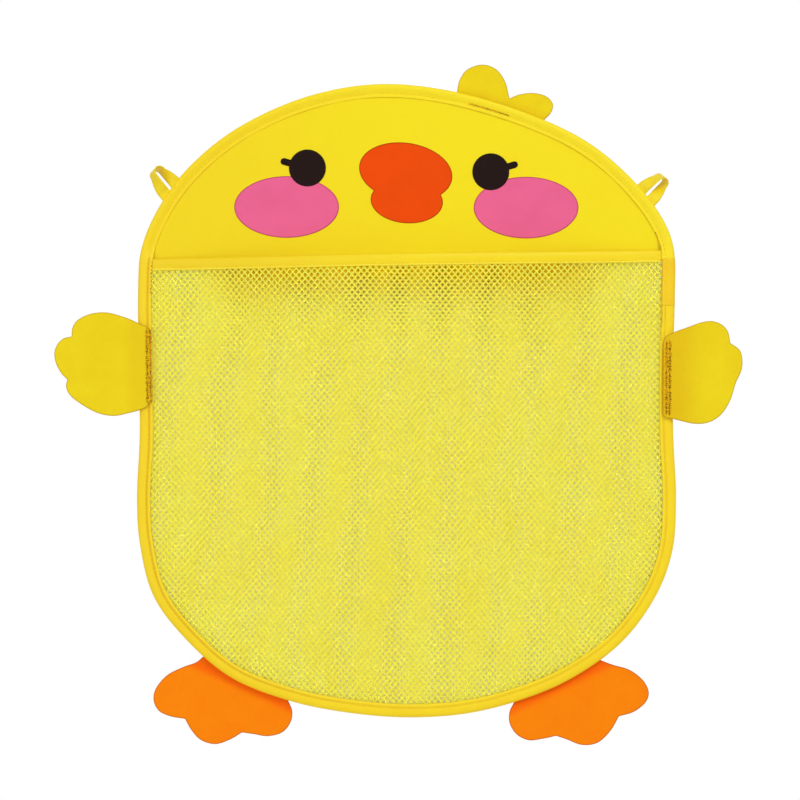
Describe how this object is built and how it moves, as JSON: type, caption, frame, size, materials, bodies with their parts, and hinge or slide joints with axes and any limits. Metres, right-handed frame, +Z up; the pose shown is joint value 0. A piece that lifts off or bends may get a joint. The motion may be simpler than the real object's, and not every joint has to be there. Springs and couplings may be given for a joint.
{
  "type": "bath toy organizer",
  "caption": "Hanging mesh bag in the shape of a chick, open at the mouth behind a taped edge, with felt wings, feet and tuft, and two ribbon loops to hang it on a bathroom wall.",
  "frame": {"origin": "on the wall, midway between the two hanging loops and level with their tips", "axes": "+Z up, the bag faces -Y, +Y points into the wall, and +X is to the right as seen from the front"},
  "size_m": [0.4461, 0.0292, 0.4424],
  "materials": {
    "head_fabric": "smooth coated woven polyester",
    "edge_tape": "satin ribbon tape with a fine rib",
    "net": "soft knitted mesh",
    "yellow_felt": "matte needle felt",
    "orange_felt": "matte needle felt",
    "dark_print": "thin printed film",
    "pink_print": "thin printed film",
    "orange_print": "thin printed film"
  },
  "bodies": {
    "bag": {"head_panel": "head_fabric", "back_net": "net", "front_net": "net", "mouth_binding": "edge_tape", "perimeter_binding": "edge_tape", "eye_left": "dark_print", "eye_right": "dark_print", "cheek_left": "pink_print", "cheek_right": "pink_print", "beak": "orange_print", "wing_left_sewn_edge": "yellow_felt", "wing_right_sewn_edge": "yellow_felt", "tuft_sewn_edge": "yellow_felt", "foot_left_sewn_edge": "orange_felt", "foot_right_sewn_edge": "orange_felt"},
    "left_wing": {"wing_left": "yellow_felt"},
    "right_wing": {"wing_right": "yellow_felt"},
    "left_foot": {"foot_left": "orange_felt"},
    "right_foot": {"foot_right": "orange_felt"},
    "head_tuft": {"tuft": "yellow_felt"},
    "left_loop": {"hanging_loop_left": "edge_tape"},
    "right_loop": {"hanging_loop_right": "edge_tape"}
  },
  "joints": [
    {"name": "wing_left_bend", "type": "hinge", "parent": "bag", "child": "left_wing", "pos_m": [-0.17546, -0.0085, -0.12305], "axis": [-0.0141, 0, 0.9999], "range_deg": [-8, 85], "stiffness_Nm_per_rad": 0.002},
    {"name": "wing_right_bend", "type": "hinge", "parent": "bag", "child": "right_wing", "pos_m": [0.17417, -0.0085, -0.12953], "axis": [-0.0061, 0, -1], "range_deg": [-8, 85], "stiffness_Nm_per_rad": 0.002},
    {"name": "foot_left_bend", "type": "hinge", "parent": "bag", "child": "left_foot", "pos_m": [-0.10548, -0.001, -0.33146], "axis": [-0.908, 0, 0.4189], "range_deg": [0, 85], "stiffness_Nm_per_rad": 0.002},
    {"name": "foot_right_bend", "type": "hinge", "parent": "bag", "child": "right_foot", "pos_m": [0.09904, -0.001, -0.33167], "axis": [-0.9024, 0, -0.4308], "range_deg": [0, 85], "stiffness_Nm_per_rad": 0.002},
    {"name": "tuft_bend", "type": "hinge", "parent": "bag", "child": "head_tuft", "pos_m": [0.06473, -0.001, 0.04739], "axis": [0.9491, 0, -0.3149], "range_deg": [0, 85], "stiffness_Nm_per_rad": 0.002},
    {"name": "hanging_loop_left_bend", "type": "hinge", "parent": "bag", "child": "left_loop", "pos_m": [-0.15397, -0.00637, -0.00743], "axis": [0.5836, 0, 0.8121], "range_deg": [0, 80], "stiffness_Nm_per_rad": 0.001},
    {"name": "hanging_loop_right_bend", "type": "hinge", "parent": "bag", "child": "right_loop", "pos_m": [0.15609, -0.00637, -0.01143], "axis": [0.6337, 0, -0.7736], "range_deg": [0, 80], "stiffness_Nm_per_rad": 0.001}
  ]
}
